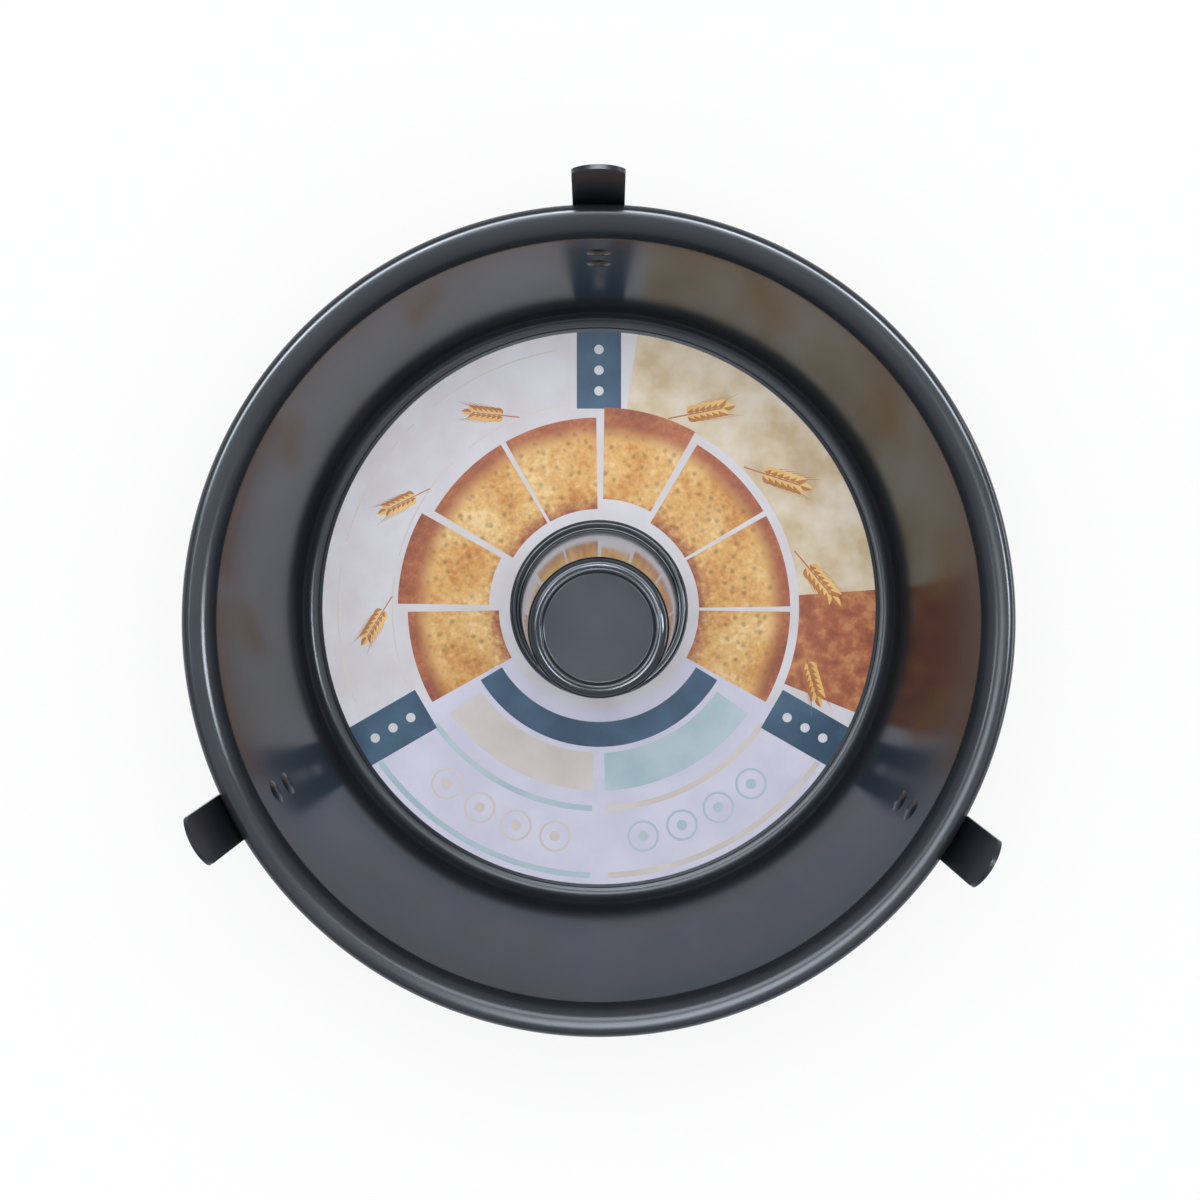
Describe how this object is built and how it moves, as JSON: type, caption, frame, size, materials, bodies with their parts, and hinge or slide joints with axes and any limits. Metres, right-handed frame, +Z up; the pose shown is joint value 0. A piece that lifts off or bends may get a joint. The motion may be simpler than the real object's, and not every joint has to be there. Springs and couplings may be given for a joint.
{
  "type": "angel food cake pan",
  "caption": "Round ring cake pan with a loose bottom and centre tube, a rolled rim, raised cooling feet on the rim and a round paper card.",
  "frame": {"origin": "on the surface the pan stands on, under the centre of the pan, in the plane of the ledge's underside", "axes": "+Z up along the axis of the wall and the tube; +Y towards foot_1"},
  "size_m": [0.258, 0.2668, 0.127],
  "materials": {
    "wall_coating": "satin grey-blue non-stick coating on steel",
    "bare_wire": "drawn steel wire inside the rim",
    "foot_coating": "satin dark grey non-stick coating on steel strip",
    "rivet_coating": "satin grey-blue non-stick coating over low rivet heads",
    "plate_coating": "satin grey-blue non-stick coating on steel",
    "tube_coating": "satin grey-blue non-stick coating on steel",
    "printed_card": null
  },
  "bodies": {
    "pan": {"pan_wall": "wall_coating", "rim_wire": "bare_wire", "foot_1": "foot_coating", "foot_2": "foot_coating", "foot_3": "foot_coating", "rivet_1_upper": "rivet_coating", "rivet_1_lower": "rivet_coating", "rivet_2_upper": "rivet_coating", "rivet_2_lower": "rivet_coating", "rivet_3_upper": "rivet_coating", "rivet_3_lower": "rivet_coating"},
    "bottom": {"base_plate": "plate_coating", "centre_tube": "tube_coating", "tube_collar": "tube_coating", "tube_cap": "tube_coating"},
    "label": {"label_card": "printed_card"}
  },
  "joints": [
    {"name": "bottom_lift", "type": "slide", "parent": "pan", "child": "bottom", "axis": [0, 0, 1], "range_m": [0, 0.135]},
    {"name": "label_lift", "type": "slide", "parent": "bottom", "child": "label", "axis": [0, 0, 1], "range_m": [0, 0.125]}
  ]
}
